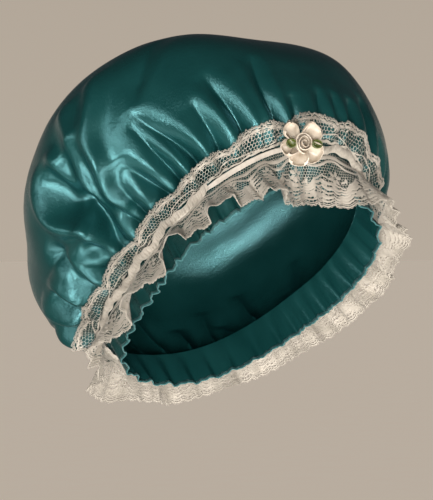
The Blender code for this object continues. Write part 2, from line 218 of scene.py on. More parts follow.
mounds = [  # degrees, mm up, half sizes in degrees and mm, height in mm
    (62, 112, 8, 10, 1.6),
    (81, 102, 6, 8, 1.2),
]
folds = {
    "creaseWidth": 0.60,  # shares of the widths, depths and heights in the tables
    "creaseDepth": 1.9,
    "shoulder": 0.30,
    "drapeWidth": 1.6,
    "drapeHeight": 1.9,
    "nearSide": (78, 155),  # degrees round where the creases broaden most as they run up
    "broaden": {"near": 2.2, "far": 0.9},
    "tuck": 4.5 * mm,  # how far the near side is drawn in
    "tuckPlace": (115, 62),  # degrees round and mm up
    "tuckReach": (38, 36),
    "puff": 4.5 * mm,  # the swell just above the gathers
    "puffReach": (9 * mm, 45 * mm),
    "smoothTop": 45 * mm,
}


def farGathers():
    # the side away from the camera repeats an irregular run of gathers
    rows = []
    for k, start in enumerate(np.linspace(161, 307, 17)):
        lean = 4 * math.sin(k * 1.7)
        reach = (40, 66, 48, 78, 44, 58)[k % 6]
        path = ((start, 0), (start + lean / 2, reach * 0.5), (start + lean, reach))
        rows.append((path, 5.0, (6.0, 7.5, 5.5)[k % 3]))
    return rows


allValleys = valleys + farGathers()
valleyStarts = np.array(sorted(path[0][0] % 360 for path, _, _ in allValleys if path[0][1] == 0))


def betweenGathers():
    # short pleats half way between two long ones
    rows = []
    ends = np.append(valleyStarts[1:], valleyStarts[0] + 360)
    for k, (this, following) in enumerate(zip(valleyStarts, ends)):
        middle = this + (following - this) * (0.5 + 0.12 * math.sin(k * 2.3))
        reach = 15 + 8 * math.sin(k * 1.3)
        depth = 1.2 if folds["nearSide"][0] < middle < folds["nearSide"][1] else 1.9
        rows.append((((middle, 0), (middle + math.sin(k), reach)), 2.6, depth + 0.6 * math.sin(k * 3.1)))
    return rows


def smoothPath(path):
    points = np.array(path, float)
    for _ in range(3):
        cut = np.empty((2 * len(points) - 2, 2))
        cut[0::2] = 0.75 * points[:-1] + 0.25 * points[1:]
        cut[1::2] = 0.25 * points[:-1] + 0.75 * points[1:]
        points = np.vstack([points[:1], cut[1:-1] if len(points) > 2 else cut, points[-1:]])
    return points


def foldProfile(angle, distance, girth, path, width, spread):
    # how far along a fold each point is, and how far beside it in fold widths
    points = smoothPath(path)
    turns, heights = points.T
    d = distance / mm
    first, last = heights[0], heights[-1]
    middle = np.interp(d, heights, turns)
    slope = np.radians(np.interp(d + 1, heights, turns) - np.interp(d - 1, heights, turns)) / (2 * mm)
    off = degreesFrom(angle, middle)
    t = np.clip((d - first) / (last - first), 0, 1)
    beside = np.radians(off) * girth / np.sqrt(1 + (slope * girth) ** 2)
    return t, d, first, last, beside / (width * mm * (1 + spread * t))


def satinRelief(angle, distance):
    roundWay = crownPoint(angle + 0.01, distance) - crownPoint(angle - 0.01, distance)
    girth = np.linalg.norm(roundWay, axis=-1) / 0.02
    relief = np.zeros_like(angle)
    for path, width, depth in allValleys + betweenGathers():
        near = folds["nearSide"][0] < path[0][0] < folds["nearSide"][1]
        spread = folds["broaden"]["near" if near else "far"]
        t, d, first, last, beside = foldProfile(angle, distance, girth, path, folds["creaseWidth"] * width, spread)
        sharp = np.exp(0.18 - np.hypot(beside, 0.18))
        shoulder = np.exp(-(((np.abs(beside) - 2.1) / 1.0) ** 2))
        begins = np.clip((d - first) / 14, 0, 1)
        entry = (0.35 + 0.65 * begins) * np.clip(d / 9, 0, 1) if first == 0 else begins**1.5
        inside = (d >= first) & (d <= last)
        strength = np.where(inside, depth * mm * entry * (1 - t) ** 0.62, 0)
        relief -= folds["creaseDepth"] * strength * sharp - folds["shoulder"] * begins * strength * shoulder
    for sign, table in ((1, ridges), (-1, hollows)):
        for path, width, height in table:
            t, d, first, last, beside = foldProfile(angle, distance, girth, path, folds["drapeWidth"] * width, 0.3)
            rise = folds["drapeHeight"] * sign * height * mm * np.sin(math.pi * t) ** 0.7 * np.exp(-(beside**2))
            relief += np.where((d >= first) & (d <= last), rise, 0)
    tuck = (*folds["tuckPlace"], *folds["tuckReach"], -folds["tuck"] / mm)
    for degrees, up, halfDegrees, halfUp, height in mounds + [tuck]:
        away = degreesFrom(angle, degrees) / halfDegrees
        relief += height * mm * np.exp(-(away**2) - ((distance / mm - up) / halfUp) ** 2)
    rising, fading = folds["puffReach"]
    relief += folds["puff"] * np.clip(distance / rising, 0, 1) * np.clip(1 - (distance - rising) / fading, 0, 1)
    calm = np.clip(distance / 0.03, 0, 1)
    relief += calm * (0.7 * mm * ripple(angle, distance, 0.09, 3) + 0.09 * mm * ripple(angle, distance, 0.026, 5))
    nearTop = np.clip((crownLength(angle) - distance) / folds["smoothTop"], 0, 1)
    return relief * nearTop**1.5


satin = {
    "frill": 27 * mm,
    "frillWave": 1.9 * mm,
    "smallWave": 0.7 * mm,
    "columns": 880,
    "crownRows": 110,
    "frillRows": 20,
    "clothRound": 0.13,  # metres of cloth for each radian round the crown
    "rowBunching": 1.2,  # rows of the crown lie closer near the gathers
    "nearCrowding": 0.30,  # and columns on the wearer's right
}


def countRound(angle, marks):
    # a whole number at each mark round the loop, and shares of one between two of them
    spread = np.concatenate([marks - 360, marks, marks + 360])
    return np.interp(np.degrees(angle) % 360, spread, np.arange(len(spread)))


def frillWays(angle, column):
    flare = np.radians(around(column, angle))[..., None]
    run = -np.cos(flare) * axisWay + np.sin(flare) * outward(angle)
    face = np.cos(flare) * outward(angle) + np.sin(flare) * axisWay
    return run, face


def satinFrill(angle, share):
    run, face = frillWays(angle, "satinFlare")
    gathers = countRound(angle, valleyStarts)
    swing = share**0.8
    wave = -satin["frillWave"] * swing * (1 + np.cos(2 * math.pi * gathers))
    wave -= satin["smallWave"] * swing**2 * (1 + np.sin(4 * math.pi * gathers + 1.2 * np.sin(9 * angle)))
    edge = 0.7 * mm * share**3 * np.abs(np.sin(math.pi * 3 * gathers))
    return loopPoint(angle) + (satin["frill"] * share + edge)[..., None] * run + wave[..., None] * face


def gridFaces(rows, columns, closed, first=0):
    across = columns if closed else columns - 1
    i, j = np.meshgrid(np.arange(rows - 1), np.arange(across), indexing="ij")
    following = (j + 1) % columns
    corners = [i * columns + j, (i + 1) * columns + j, (i + 1) * columns + following, i * columns + following]
    return np.stack(corners, -1).reshape(-1, 4) + first


def makePiece(name, points, faces, material, clothCoordinates=None, extraFaces=None):
    mesh = bpy.data.meshes.new(name)
    allFaces = faces.tolist() + (extraFaces or [])
    mesh.from_pydata(points.reshape(-1, 3).tolist(), [], allFaces)
    if clothCoordinates is not None:
        layer = mesh.uv_layers.new(name="cloth")
        values = clothCoordinates.reshape(-1, 2)[[corner for face in allFaces for corner in face]]
        layer.data.foreach_set("uv", values.astype(np.float32).reshape(-1))
    mesh.shade_smooth()
    mesh.materials.append(material)
    made = bpy.data.objects.new(name, mesh)
    bpy.context.scene.collection.objects.link(made)
    return made


def tubeMesh(points, radius, sides):
    # a round thread along a closed line of points
    tangent = unit(np.roll(points, -1, axis=0) - np.roll(points, 1, axis=0))
    side = unit(np.cross(tangent, unit(points - np.array([0.0, 0.0, 0.02]))))
    face = np.cross(side, tangent)
    turn = (np.arange(sides) / sides * 2 * math.pi)[:, None]
    rings = points[:, None] + radius * (np.cos(turn) * side[:, None] + np.sin(turn) * face[:, None])
    i, j = np.meshgrid(np.arange(len(points)), np.arange(sides), indexing="ij")
    nextI, nextJ = (i + 1) % len(points), (j + 1) % sides
    quads = np.stack([i * sides + j, nextI * sides + j, nextI * sides + nextJ, i * sides + nextJ], -1)
    return rings.reshape(-1, 3), quads.reshape(-1, 4)


def joinParts(parts):
    points, faces, first = [], [], 0
    for p, f in parts:
        p = p.reshape(-1, 3)
        points.append(p)
        faces.append(f + first)
        first += len(p)
    return np.concatenate(points), np.concatenate(faces)


# node helpers for the finishes
def startMaterial(name):
    made = bpy.data.materials.new(name)
    made.use_nodes = True
    tree = made.node_tree
    return made, tree, tree.nodes["Principled BSDF"]


def addNode(tree, kind, inputs=None, **settings):
    node = tree.nodes.new(kind)
    for key, value in settings.items():
        setattr(node, key, value)
    for key, value in (inputs or {}).items():
        if isinstance(value, bpy.types.NodeSocket):
            tree.links.new(value, node.inputs[key])
        else:
            node.inputs[key].default_value = value
    return node


def colourRamp(tree, factor, stops):
    node = addNode(tree, "ShaderNodeValToRGB", {"Fac": factor})
    while len(node.color_ramp.elements) < len(stops):
        node.color_ramp.elements.new(0.5)
    for element, (position, colour) in zip(node.color_ramp.elements, stops):
        element.position = position
        element.color = (*colour, 1)
    return node.outputs["Color"]


def addNoise(tree, vector, scale, detail):
    return addNode(tree, "ShaderNodeTexNoise", {"Vector": vector, "Scale": scale, "Detail": detail}).outputs["Fac"]


def cloudColour(tree, shader, scale, detail, stops):
    # soft clouds of colour; gives back the coordinates that they lie on
    spots = addNode(tree, "ShaderNodeTexCoord").outputs["Object"]
    colour = colourRamp(tree, addNoise(tree, spots, scale, detail), stops)
    tree.links.new(colour, shader.inputs["Base Color"])
    return spots


def unevenRoughness(tree, shader, grain, low, high):
    spread = addNode(tree, "ShaderNodeMapRange", {"Value": grain, "To Min": low, "To Max": high})
    tree.links.new(spread.outputs["Result"], shader.inputs["Roughness"])


def addBump(tree, height, strength, distance, before=None):
    inputs = {"Height": height, "Strength": strength, "Distance": distance, **(before or {})}
    return addNode(tree, "ShaderNodeBump", inputs).outputs["Normal"]


def satinMaterial():
    finish = {
        "deep": (0.006, 0.053, 0.051),
        "light": (0.010, 0.071, 0.068),
        "roughness": (0.18, 0.28),
        "metallic": 0.5,
        "gloss": 0.8,
        "glossTint": (0.60, 0.78, 0.90, 1),
        "anisotropic": 0.4,
        "crumple": 0.20,
        "weave": 0.6,
    }
    made, tree, shader = startMaterial("tealSatin")
    place = addNode(tree, "ShaderNodeUVMap", uv_map="cloth").outputs["UV"]
    threads = addNode(tree, "ShaderNodeMapping", {"Vector": place, "Scale": (2600, 520, 1)}).outputs["Vector"]
    threadNoise = addNoise(tree, threads, 1.0, 3.0)
    spots = cloudColour(tree, shader, 38.0, 4.0, [(0.3, finish["deep"]), (0.75, finish["light"])])
    unevenRoughness(tree, shader, threadNoise, *finish["roughness"])
    soft = addBump(tree, addNoise(tree, spots, 620.0, 3.0), finish["crumple"], 0.0008)
    fine = addBump(tree, threadNoise, finish["weave"], 0.0003, {"Normal": soft})
    tree.links.new(fine, shader.inputs["Normal"])
    grain = addNode(tree, "ShaderNodeTangent", direction_type="UV_MAP", uv_map="cloth").outputs["Tangent"]
    tree.links.new(grain, shader.inputs["Tangent"])
    shader.inputs["Metallic"].default_value = finish["metallic"]
    shader.inputs["Specular IOR Level"].default_value = finish["gloss"]
    shader.inputs["Specular Tint"].default_value = finish["glossTint"]
    shader.inputs["Anisotropic"].default_value = finish["anisotropic"]
    return made


def threadMaterial(name, dark, light, roughness, threadScale, sheen):
    made, tree, shader = startMaterial(name)
    spots = cloudColour(tree, shader, 60.0, 5.0, [(0.3, dark), (0.7, light)])
    grain = addNoise(tree, spots, threadScale, 3.0)
    tree.links.new(addBump(tree, grain, 0.5, 0.0003), shader.inputs["Normal"])
    unevenRoughness(tree, shader, grain, roughness - 0.08, roughness + 0.08)
    shader.inputs["Sheen Weight"].default_value = sheen
    shader.inputs["Sheen Roughness"].default_value = 0.4
    return made


def satinColumns():
    # angles of the columns, more of them where the folds are closest
    even = np.arange(satin["columns"]) / satin["columns"] * 2 * math.pi
    return even - satin["nearCrowding"] * np.sin(even - math.radians(62))


def makeSatin(material):
    angles = satinColumns()
    rows, ups = [], []
    full = crownLength(angles)
    for k in range(satin["crownRows"]):
        distance = full * (k / satin["crownRows"]) ** satin["rowBunching"]
        relief = satinRelief(angles, distance)
        rows.append(crownPoint(angles, distance) + relief[:, None] * crownNormal(angles, distance))
        ups.append(distance)
    points, ups = np.array(rows), np.array(ups)
    apex = crownShape["height"] * axisWay + crownShape["apexLean"] * forwardWay
    count, columns = points.shape[:2]
    flat = np.stack([np.broadcast_to(angles * satin["clothRound"], ups.shape), ups], -1).reshape(-1, 2)
    flat = np.vstack([flat, [[0.4, full.mean()]]])
    allPoints = np.vstack([points.reshape(-1, 3), apex[None]])
    last = (count - 1) * columns
    fan = [[last + j, count * columns, last + (j + 1) % columns] for j in range(columns)]
    return makePiece("satinCrown", allPoints, gridFaces(count, columns, True), material, flat, fan)


def makeHemStitches(material):
    # the overlocked edge of the satin frill: a zigzag of thread and a cord along it
    count = 5200
    marks = np.append(satinColumns(), satinColumns()[0] + 2 * math.pi)
    angles = np.interp(np.arange(count) / count, np.arange(len(marks)) / satin["columns"], marks)
    zigzag = satinFrill(angles, 1.0 - 0.075 * (np.arange(count) // 2 % 2))
    cord = satinFrill(angles[::3], np.full(len(angles[::3]), 1.004))
    parts = [tubeMesh(zigzag, 0.22 * mm, 3), tubeMesh(cord, 0.45 * mm, 5)]
    return makePiece("hemStitches", *joinParts(parts), material)


def makeSatinFrill(material):
    angles = satinColumns()
    shares = np.linspace(1, 0, satin["frillRows"])
    points = np.array([satinFrill(angles, np.full_like(angles, share)) for share in shares])
    flat = np.stack(np.broadcast_arrays(angles * satin["clothRound"], -satin["frill"] * shares[:, None]), -1)
    return makePiece("satinFrill", points, gridFaces(len(shares), len(angles), True), material, flat)


tealSatin = satinMaterial()
hemThread = threadMaterial("hemThread", (0.012, 0.085, 0.085), (0.03, 0.13, 0.13), 0.6, 2600.0, 0.1)
satinCrown = makeSatin(tealSatin)
satinHem = makeSatinFrill(tealSatin)
hemStitches = makeHemStitches(hemThread)
for piece in (satinCrown, satinHem, hemStitches):
    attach(piece, "root")
    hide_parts("satin_crown")
print("satin crown made")


# the lace: a strip with a scalloped heading over the crown and a frill that hangs past the loop in flutes
lace = {
    "standoff": 1.8 * mm,
    "land": 4.6 * mm,
    "heading": 20.5 * mm,
    "scallops": 16,
    "scallopDepth": 4.6 * mm,
    "crestAngle": 91,
    "fluteDepth": 13 * mm,
    "fluteUneven": np.array([0.9, 1.0, 1.1, 1.2, 1.1, 0.6, 0.7, 0.8, 0.8, 0.7, 0.5, 0.4, 0.6]),
    "fluteLean": 3 * mm,
    "droop": 0.14,
    "frontLift": 0.75,  # the flutes at the forehead stand up instead of drooping
    "frontPlace": (12, 22),  # degrees: middle and spread
    "ruffles": (2.2 * mm, 0.6 * mm),
    "netPitch": 2.3 * mm,
    "netThread": 0.34 * mm,
    "headingPitch": 2.5 * mm,
    "headingThread": 0.30 * mm,
    "fluteAngles": np.array([12, 30, 50, 73, 105, 140, 172, 204, 236, 266, 293, 318, 345.0]),
}


def crook(angle):
    # where the lace turns from the crown to the frill
    up = outward(angle)
    down = frillWays(angle, "satinFlare")[0]
    between = np.radians(90 - around("satinFlare", angle))[..., None]
    corner = loopPoint(angle) + lace["standoff"] / np.sin(between) * (up + down)
    land = lace["land"] / (2 * np.sin(between / 2))
    return corner, up, down, land


def headingPoint(angle, reach):
    # reach is metres from the loop up the crown
    corner, up, _, land = crook(angle)
    foot = ((corner - loopPoint(angle)) * up).sum(axis=-1) + land[..., 0]
    distance = np.maximum(reach, foot)
    loose = np.clip((distance - foot) / 0.01, 0, 1) * (1 + ripple(angle, distance, 0.02, 11))
    lift = lace["standoff"] + 0.5 * mm * loose
    over = satinRelief(angle, distance) + 0.9 * mm  # the lace lies over the gathers under it
    lift = np.where(over > lift, over, lift)
    return crownPoint(angle, distance) + lift[..., None] * crownNormal(angle, distance)


def scallopPlace(angle):
    # scallops counted along the strip, with a crest where the photo has one
    s = np.interp(angle % (2 * math.pi), headingAngles, headingLengths) / headingLengths[-1]
    crest = np.interp(math.radians(lace["crestAngle"]), headingAngles, headingLengths) / headingLengths[-1]
    return (s - crest) * lace["scallops"] + 0.5


def headingReach(angle):
    lobe = np.abs(np.sin(math.pi * scallopPlace(angle)))
    uneven = 1 + 0.25 * np.sin(5 * angle + 1) * np.sin(2 * angle)
    return lace["heading"] - lace["scallopDepth"] * uneven * (1 - lobe**0.75)


def frillPoint(angle, share):
    corner, _, down, land = crook(angle)
    run, face = frillWays(angle, "laceFlare")
    place = countRound(angle, lace["fluteAngles"])
    reach = around("laceFrill", angle) * mm * share
    off = place % 1 - 0.5
    swing = np.clip(share, 0, 2) ** 1.2
    flutes = len(lace["fluteAngles"])
    size = lace["fluteUneven"][(np.floor(place).astype(int) - 1) % flutes]
    flute = size * lace["fluteDepth"] * np.cos(math.pi * off) ** 2 * swing
    lean = -size * lace["fluteLean"] * np.sin(4 * math.pi * off) * swing
    big, small = lace["ruffles"]
    ruffle = big * np.sin(6 * math.pi * place + 2 * np.sin(3 * angle)) + small * np.sin(14 * math.pi * place)
    along = np.cross(axisWay, outward(angle))
    point = corner + land * down + reach[..., None] * run
    point += (flute + swing * ruffle)[..., None] * face + lean[..., None] * along
    middle, spread = lace["frontPlace"]
    front = np.exp(-((degreesFrom(angle, middle) / spread) ** 2))
    point[..., 2] -= (lace["droop"] - lace["frontLift"] * front) * flute
    return point


def arcTable(curve, count=7200):
    # flat length against angle along a closed curve
    angles = np.linspace(0, 2 * math.pi, count + 1)
    points = curve(angles)
    steps = np.linalg.norm(np.diff(points, axis=0), axis=-1)
    return angles, np.concatenate([[0], np.cumsum(steps)])


frillAngles, frillLengths = arcTable(lambda a: frillPoint(a, np.full_like(a, 0.75)))
headingAngles, headingLengths = arcTable(lambda a: headingPoint(a, np.full_like(a, 0.012)))
laceLength = {"frill": frillLengths[-1], "heading": headingLengths[-1]}
print("lace strip, mm:", {key: round(value * 1000) for key, value in laceLength.items()})


def frillFromFlat(s, t):
    # s and t are metres along and down the flat frill
    angle = np.interp(s % laceLength["frill"], frillLengths, frillAngles)
    return frillPoint(angle, t / (around("laceFrill", angle) * mm))


def headingFromFlat(s, t):
    # s and t are metres along the strip and up from the loop
    return headingPoint(np.interp(s % laceLength["heading"], headingLengths, headingAngles), t)


def lifted(surface, s, t, lift):
    here = surface(s, t)
    step = 0.3 * mm
    sideways = surface(s + step, t) - surface(s - step, t)
    upways = surface(s, t + step) - surface(s, t - step)
    normal = unit(np.cross(sideways, upways))
    outwardSide = np.sign((normal * (here - axisWay * 0.02)).sum(axis=-1, keepdims=True))
    return here + normal * outwardSide * np.asarray(lift)[..., None]


def netRibbons(surface, length, low, high, pitch, thread):
    # a net of six-sided holes: each thread a flat ribbon between two knots
    columns = int(round(length / pitch))
    pitch = length / columns
    side = pitch / math.sqrt(3)
    rowStep = 1.5 * side
    rows = int(math.ceil((high.max() - low) / rowStep)) + 1
    ribbons = []
    for row in range(rows):
        shift = pitch / 2 * (row % 2)
        x = np.arange(columns) * pitch + shift
        y = np.full(columns, low + row * rowStep)
        knot = np.stack([x, y], -1)
        top = np.stack([x, y + side], -1)
        ribbons.append(np.stack([knot, top], 1))
        for way in (-1, 1):
            ribbons.append(np.stack([top, np.stack([x + way * pitch / 2, y + side * 1.5], -1)], 1))
    ends = np.concatenate(ribbons)
    wander = np.random.default_rng(5)
    middle = ends.mean(axis=1)
    limit = np.interp(middle[:, 0] % length, np.linspace(0, length, len(high)), high)
    ends = ends[(middle[:, 1] > low) & (middle[:, 1] < limit)]
    ahead = unit(ends[:, 1] - ends[:, 0])
    beside = np.stack([-ahead[:, 1], ahead[:, 0]], -1) * thread / 2 * wander.uniform(0.7, 1.3, (len(ends), 1))
    corners = np.stack([ends[:, 0] - beside, ends[:, 1] - beside, ends[:, 1] + beside, ends[:, 0] + beside], 1)
    points = surface(corners[..., 0], corners[..., 1])
    return points.reshape(-1, 3), np.arange(len(ends) * 4).reshape(-1, 4)


def leafPatches(surface, leaves, lift):
    # raised leaves of close threads: each row has the flat centre, the way it points, its length and its width
    half = np.array([0, 0.75, 1.0, 0.9, 0.6, 0.0])  # how wide a leaf is along its length
    rows = len(half)
    u = np.linspace(0, 1, rows)
    v = np.array([-1.0, 0.0, 1.0])
    centreX, centreY, way, length, width = leaves.T[:, :, None, None]
    along = (u - 0.5)[None, :, None] * length * np.ones(3)[None, None]
    beside = half[None, :, None] * v[None, None] * width / 2
    x = centreX + along * np.cos(way) - beside * np.sin(way)
    y = centreY + along * np.sin(way) + beside * np.cos(way)
    height = lift * (0.5 + 0.8 * half[None, :, None] * (1 - v[None, None] ** 2)) * np.ones_like(x)
    points = lifted(surface, x, y, height)
    faces = np.concatenate([gridFaces(rows, 3, False, k * rows * 3) for k in range(len(leaves))])
    return points.reshape(-1, 3), faces


def bandStrip(surface, x, y, width, lift, across=4):
    # a close-worked band along a flat curve
    path = np.stack([x, y], -1)
    ahead = unit(np.gradient(path, axis=0))
    side = np.stack([-ahead[:, 1], ahead[:, 0]], -1)
    v = np.linspace(-1, 1, across)
    places = path[:, None] + side[:, None] * v[None, :, None] * np.broadcast_to(width, len(x))[:, None, None] / 2
    height = lift * (0.45 + 0.75 * (1 - v**2))[None] * np.ones(len(x))[:, None]
    points = lifted(surface, places[..., 0], places[..., 1], height)
    return points.reshape(-1, 3), gridFaces(len(x), across, False)


def hemReach(s):
    # how far down the flat frill reaches, with small scallops along the hem
    angle = np.interp(s % laceLength["frill"], frillLengths, frillAngles)
    return around("laceFrill", angle) * mm - 1.5 * mm * (1 - np.abs(np.sin(math.pi * s / hemPitch)))


hemPitch = laceLength["frill"] / round(laceLength["frill"] / 0.0078)


def makeLaceNet(material):
    frill, heading = laceLength["frill"], laceLength["heading"]
    high = hemReach(np.linspace(0, frill, 4000)) - 0.6 * mm
    frillNet = netRibbons(frillFromFlat, frill, 0.0, high, lace["netPitch"], lace["netThread"])
    angles = np.interp(np.linspace(0, heading, 4000), headingLengths, headingAngles)
    high = headingReach(angles) - 0.5 * mm
    headingNet = netRibbons(headingFromFlat, heading, 3.5 * mm, high, lace["headingPitch"], lace["headingThread"])
    return makePiece("laceNet", *joinParts([frillNet, headingNet]), material)


def makeLaceCords(material):
    parts = []
    # heading edge: loose cords and two rows of uneven picots
    s = np.linspace(0, laceLength["heading"], 3600, endpoint=False)
    edge = headingReach(np.interp(s, headingLengths, headingAngles))
    loose = 0.22 * mm * (np.sin(s / (0.93 * mm)) + np.sin(s / (0.61 * mm) + 1))
    for inset, radius, share in ((0.0, 0.30, 1.0), (1.0, 0.24, -1.0), (3.0, 0.22, 0.7)):
        line = lifted(headingFromFlat, s, edge - inset * mm + share * loose, 0.3 * mm)
        parts.append(tubeMesh(line[::2], radius * mm, 4))
    for spacing, height, lift in ((0.0023, 1.5, 0.2), (0.0031, 1.1, 0.7)):
        pitch = laceLength["heading"] / round(laceLength["heading"] / spacing)
        size = height * mm * (1 + 0.4 * np.sin(s / (4.1 * mm)))
        reach = edge + size * np.abs(np.sin(math.pi * s / pitch)) + loose
        parts.append(tubeMesh(lifted(headingFromFlat, s, reach, lift * mm), 0.23 * mm, 3))
    # hem: two cords with picots along small scallops
    s = np.linspace(0, laceLength["frill"], 2600, endpoint=False)
    for inset, radius in ((0.0, 0.42), (1.3, 0.34)):
        parts.append(tubeMesh(lifted(frillFromFlat, s, hemReach(s) - inset * mm, 0.2 * mm), radius * mm, 5))
    s = np.linspace(0, laceLength["frill"], 6600, endpoint=False)
    pitch = laceLength["frill"] / round(laceLength["frill"] / 0.0022)
    reach = hemReach(s) + 1.2 * mm * np.abs(np.sin(math.pi * s / pitch))
    parts.append(tubeMesh(lifted(frillFromFlat, s, reach, 0.2 * mm), 0.24 * mm, 4))
    return makePiece("laceCords", *joinParts(parts), material)


def makeLaceMotifs(material):
    parts = []
    repeats = round(laceLength["frill"] / 0.035)
    pitch = laceLength["frill"] / repeats
    s = np.linspace(0, laceLength["frill"], 2200)
    depth = hemReach(s)
    wave = np.sin(2 * math.pi * s / pitch)
    # close wavy bands above the hem, deeper the further they are from it
    for k in range(6):
        swing = (0.3 + 0.75 * k) * mm
        line = depth - (3.3 + 2.75 * k) * mm + swing * np.sin(2 * math.pi * s / pitch + 0.25 * k)
        thick = (1.7 + 0.6 * math.sin(k * 2.2)) * mm * (1 + 0.35 * np.sin(4 * math.pi * s / pitch + k))
        parts.append(bandStrip(frillFromFlat, s, line, thick, 0.3 * mm))
    parts.append(bandStrip(frillFromFlat, s, 4.5 * mm - 1.2 * mm * wave, 2.6 * mm, 0.3 * mm))
    parts.append(bandStrip(frillFromFlat, s, 8.5 * mm - 2.6 * mm * wave, 1.8 * mm, 0.3 * mm))
    leaves = []  # centre, the way it points, length and width
    for k in range(repeats):
        x0 = (k + 0.25) * pitch
        base = np.interp(x0, s, depth)
        # a flower in the hollow of each wave, with a spray of leaves beside it
        for petal in range(6):
            turn = petal / 6 * 2 * math.pi + 0.3
            centre = (x0 + 3.4 * mm * math.cos(turn), base - 20 * mm + 3.4 * mm * math.sin(turn))
            leaves.append((*centre, turn, 5.2 * mm, 2.6 * mm))
        for leaf in range(9):
            t = leaf / 8
            x = x0 + pitch * (0.22 + 0.56 * t)
            y = base - 17 * mm + 7 * mm * math.sin(math.pi * t)
            way = 0.9 * (-1) ** leaf + 0.6 * math.cos(math.pi * t)
            leaves.append((x, y + (-1) ** leaf * 1.8 * mm, way, 5.0 * mm, 1.9 * mm))
        for fan in range(5):
            turn = math.radians(30 + 30 * fan)
            x, y = x0 + pitch / 2 + 4.2 * mm * math.cos(turn), base - 9.6 * mm + 4.2 * mm * math.sin(turn)
            leaves.append((x, y, turn, 5.4 * mm, 2.1 * mm))
    parts.append(leafPatches(frillFromFlat, np.array(leaves), 0.32 * mm))
    # heading: a worked rim and foot round an open window of net in each scallop
    s = np.linspace(0, laceLength["heading"], 1800)
    angles = np.interp(s, headingLengths, headingAngles)
    edge = headingReach(angles)
    uneven = 1 + 0.45 * np.sin(s / (0.9 * mm)) * np.sin(s / (5.3 * mm)) + 0.2 * np.sin(s / (2.3 * mm))
    turn = 2 * math.pi * scallopPlace(angles)
    for line, width, lift in (
        (edge - 2.0 * mm, 1.0, 0.3),
        (5.2 * mm + 0.5 * mm * np.sin(s / (1.7 * mm)), 2.0, 0.4),
        (8.4 * mm + 2.2 * mm * np.cos(turn), 0.8, 0.3),
    ):
        parts.append(bandStrip(headingFromFlat, s, line, width * mm * uneven, lift * mm))
    leaves = []
    stray = np.random.default_rng(9)
    place = scallopPlace(angles)
    for k in range(lace["scallops"]):
        notch = np.interp((k - place[0]) % lace["scallops"] + place[0], place, s)
        for fan in range(9):
            turn = math.radians(10 + 20 * fan)
            reach = 4.8 * mm + 0.8 * mm * math.sin(fan * 2.0 + k)
            centre = (notch + reach * math.cos(turn), 8.2 * mm + reach * math.sin(turn))
            way, length, width = (stray.uniform(*limits) for limits in ((-0.3, 0.3), (2.8, 5.0), (0.8, 1.7)))
            leaves.append((*centre, turn + way, length * mm, width * mm))
    for x in np.arange(0, laceLength["heading"], 1.5 * mm):
        limits = ((1.0, 4.6), (0, math.pi), (1.6, 3.4), (0.6, 1.2))
        below, way, length, width = (stray.uniform(*pair) for pair in limits)
        leaves.append((x, np.interp(x, s, edge) - below * mm, way, length * mm, width * mm))
    parts.append(leafPatches(headingFromFlat, np.array(leaves), 0.32 * mm))
    return makePiece("laceMotifs", *joinParts(parts), material)


laceThread = threadMaterial("laceThread", (0.23, 0.205, 0.165), (0.40, 0.36, 0.30), 0.82, 2600.0, 0.12)
laceNet = makeLaceNet(laceThread)
laceCords = makeLaceCords(laceThread)
laceMotifs = makeLaceMotifs(laceThread)
for piece in (laceNet, laceCords, laceMotifs):
    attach(piece, "root")
    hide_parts("lace_edging")
print("lace made")

# the elastic that gathers the lace, ribbed along its length
elastic = {
    "width": 4.0 * mm,
    "hiddenWidth": 2.0 * mm,
    "bare": (2, 42),  # degrees round where no lace covers it
    "rise": 0.7 * mm,
    "ribs": 4,
    "columns": 900,
    "rows": 11,
    "footWidth": 3.0 * mm,  # half the ruched foot of the lace
    "footPleats": (158, 331),
}


def bareElastic(angle):
    # 1 where the elastic shows at the front, 0 where the foot of the lace covers it
    low, high = elastic["bare"]
    degrees = degreesFrom(angle, 0)
    return np.clip((degrees - low) / 6, 0, 1) * np.clip((high - degrees) / 6, 0, 1)


def makeElastic(material):
    angles = np.arange(elastic["columns"]) / elastic["columns"] * 2 * math.pi
    corner, up, down, land = crook(angles)
    out, side = unit(up + down), unit(up - down)
    bare = bareElastic(angles)
    width = elastic["hiddenWidth"] + bare * (elastic["width"] - elastic["hiddenWidth"])
    pucker = 0.12 * mm * np.sin(angles * 190) + 0.1 * mm * np.sin(angles * 71)
    centre = corner + land / 2 * (up + down) + (0.75 * mm + pucker)[:, None] * out
    rows = []
    for v in np.linspace(-1, 1, elastic["rows"]):
        rib = 0.16 * mm * abs(math.sin(v * math.pi / 2 * elastic["ribs"]))
        dome = elastic["rise"] * (1 - abs(v) ** 3) * 0.55
        rows.append(centre + v * width[:, None] / 2 * side + (dome + rib) * out)
    under = [centre + v * width[:, None] / 2 * side - 0.3 * mm * out for v in (0.9, -0.9)]
    points = np.array(rows + under + rows[:1])
    return makePiece("elasticBand", points, gridFaces(len(points), elastic["columns"], True), material)


